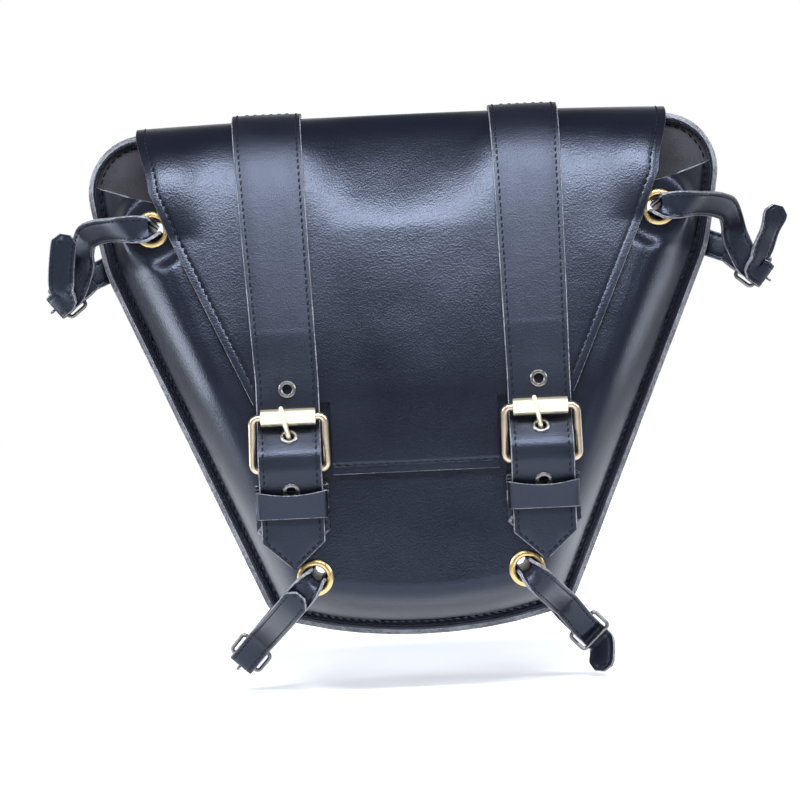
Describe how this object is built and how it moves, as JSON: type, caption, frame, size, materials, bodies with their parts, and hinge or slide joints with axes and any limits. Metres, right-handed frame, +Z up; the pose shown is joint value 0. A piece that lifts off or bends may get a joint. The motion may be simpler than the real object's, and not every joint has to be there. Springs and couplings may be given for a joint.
{
  "type": "leather saddle bag",
  "caption": "Tapered black leather saddle bag: bulged pouch, fold-over flap, strap and roller buckle closures, brass eyelets and buckled mounting loops at its corners.",
  "frame": {"origin": "centre of the flat rear face of the back panel", "axes": "-Y to the front, +Y out of the rear face, +Z up, +X to the right as seen from the front"},
  "size_m": [0.4353, 0.1028, 0.3353],
  "materials": {
    "bag_leather": "smooth black leather with a soft sheen",
    "strap_leather": "fine-grained black leather",
    "cut_edge": "raw layered edge, grey",
    "lining": "dark matt lining",
    "board": "stiffener board",
    "brass": "polished yellow brass",
    "pale_brass": "pale satin brass",
    "bronze": "antique brass",
    "dark_nickel": "dark antique nickel"
  },
  "bodies": {
    "bag": {"back_panel": "bag_leather", "back_board": "board", "back_lining": "lining", "front_panel": "bag_leather", "front_lining": "lining", "edge_binding": "cut_edge", "flap_anchor": "bag_leather", "front_eyelet_top_left": "brass", "front_eyelet_top_right": "brass", "front_eyelet_bottom_left": "brass", "front_eyelet_bottom_right": "brass", "back_eyelet_top_left": "brass", "back_eyelet_top_right": "brass", "back_eyelet_bottom_left": "brass", "back_eyelet_bottom_right": "brass", "chape_left": "strap_leather", "chape_right": "strap_leather", "keeper_left": "strap_leather", "keeper_right": "strap_leather"},
    "flap": {"flap": "bag_leather", "flap_lining": "lining", "flap_strap_left": "strap_leather", "flap_strap_right": "strap_leather", "strap_eyelet_left_1": "dark_nickel", "strap_eyelet_left_2": "dark_nickel", "strap_eyelet_left_3": "dark_nickel", "strap_eyelet_right_1": "dark_nickel", "strap_eyelet_right_2": "dark_nickel", "strap_eyelet_right_3": "dark_nickel"},
    "buckle_left": {"buckle_frame_left": "bronze"},
    "prong_left": {"buckle_prong_left": "pale_brass"},
    "roller_left": {"buckle_roller_left": "pale_brass"},
    "buckle_right": {"buckle_frame_right": "bronze"},
    "prong_right": {"buckle_prong_right": "pale_brass"},
    "roller_right": {"buckle_roller_right": "pale_brass"},
    "mount_top_left": {"mount_strap_top_left": "strap_leather", "mount_frame_top_left": "dark_nickel"},
    "mount_prong_top_left": {"mount_prong_top_left": "dark_nickel"},
    "mount_top_right": {"mount_strap_top_right": "strap_leather", "mount_frame_top_right": "dark_nickel"},
    "mount_prong_top_right": {"mount_prong_top_right": "dark_nickel"},
    "mount_bottom_left": {"mount_strap_bottom_left": "strap_leather", "mount_frame_bottom_left": "dark_nickel"},
    "mount_prong_bottom_left": {"mount_prong_bottom_left": "dark_nickel"},
    "mount_bottom_right": {"mount_strap_bottom_right": "strap_leather", "mount_frame_bottom_right": "dark_nickel"},
    "mount_prong_bottom_right": {"mount_prong_bottom_right": "dark_nickel"}
  },
  "joints": [
    {"name": "flap_hinge", "type": "hinge", "parent": "bag", "child": "flap", "pos_m": [0, 0.0012, 0.1514], "axis": [-1, 0, 0], "range_deg": [0, 150], "deforming": ["flap_strap_left", "flap_strap_right", "strap_eyelet_left_1", "strap_eyelet_left_2", "strap_eyelet_left_3", "strap_eyelet_right_1", "strap_eyelet_right_2", "strap_eyelet_right_3"]},
    {"name": "buckle_pivot_left", "type": "hinge", "parent": "bag", "child": "buckle_left", "pos_m": [-0.071, -0.0833, -0.049], "axis": [1, 0, 0], "range_deg": [0, 75]},
    {"name": "prong_pivot_left", "type": "hinge", "parent": "buckle_left", "child": "prong_left", "pos_m": [-0.071, -0.0833, -0.049], "axis": [1, 0, 0], "range_deg": [0, 45]},
    {"name": "roller_spin_left", "type": "hinge", "parent": "buckle_left", "child": "roller_left", "pos_m": [-0.071, -0.08555, -0.0195], "axis": [1, 0, 0], "continuous": true},
    {"name": "buckle_pivot_right", "type": "hinge", "parent": "bag", "child": "buckle_right", "pos_m": [0.071, -0.0833, -0.049], "axis": [1, 0, 0], "range_deg": [0, 75]},
    {"name": "prong_pivot_right", "type": "hinge", "parent": "buckle_right", "child": "prong_right", "pos_m": [0.071, -0.0833, -0.049], "axis": [1, 0, 0], "range_deg": [0, 45]},
    {"name": "roller_spin_right", "type": "hinge", "parent": "buckle_right", "child": "roller_right", "pos_m": [0.071, -0.08555, -0.0195], "axis": [1, 0, 0], "continuous": true},
    {"name": "mount_swing_top_left", "type": "hinge", "parent": "bag", "child": "mount_top_left", "pos_m": [-0.145, 0, 0.091], "axis": [0, 1, 0], "range_deg": [-12, 12]},
    {"name": "mount_prong_pivot_top_left", "type": "hinge", "parent": "mount_top_left", "child": "mount_prong_top_left", "pos_m": [-0.196, -0.001, 0.06], "axis": [0.6222, 0, -0.7828], "range_deg": [0, 75]},
    {"name": "mount_swing_top_right", "type": "hinge", "parent": "bag", "child": "mount_top_right", "pos_m": [0.145, 0, 0.091], "axis": [0, 1, 0], "range_deg": [-12, 12]},
    {"name": "mount_prong_pivot_top_right", "type": "hinge", "parent": "mount_top_right", "child": "mount_prong_top_right", "pos_m": [0.199, -0.001, 0.06], "axis": [0.6222, 0, 0.7828], "range_deg": [0, 75]},
    {"name": "mount_swing_bottom_left", "type": "hinge", "parent": "bag", "child": "mount_bottom_left", "pos_m": [-0.06, 0, -0.111], "axis": [0, 1, 0], "range_deg": [-12, 12]},
    {"name": "mount_prong_pivot_bottom_left", "type": "hinge", "parent": "mount_bottom_left", "child": "mount_prong_bottom_left", "pos_m": [-0.098, -0.001, -0.153], "axis": [0.7422, 0, -0.6702], "range_deg": [0, 75]},
    {"name": "mount_swing_bottom_right", "type": "hinge", "parent": "bag", "child": "mount_bottom_right", "pos_m": [0.06, 0, -0.111], "axis": [0, 1, 0], "range_deg": [-12, 12]},
    {"name": "mount_prong_pivot_bottom_right", "type": "hinge", "parent": "mount_bottom_right", "child": "mount_prong_bottom_right", "pos_m": [0.0935, -0.001, -0.149], "axis": [0.7239, 0, 0.6899], "range_deg": [0, 75]}
  ]
}
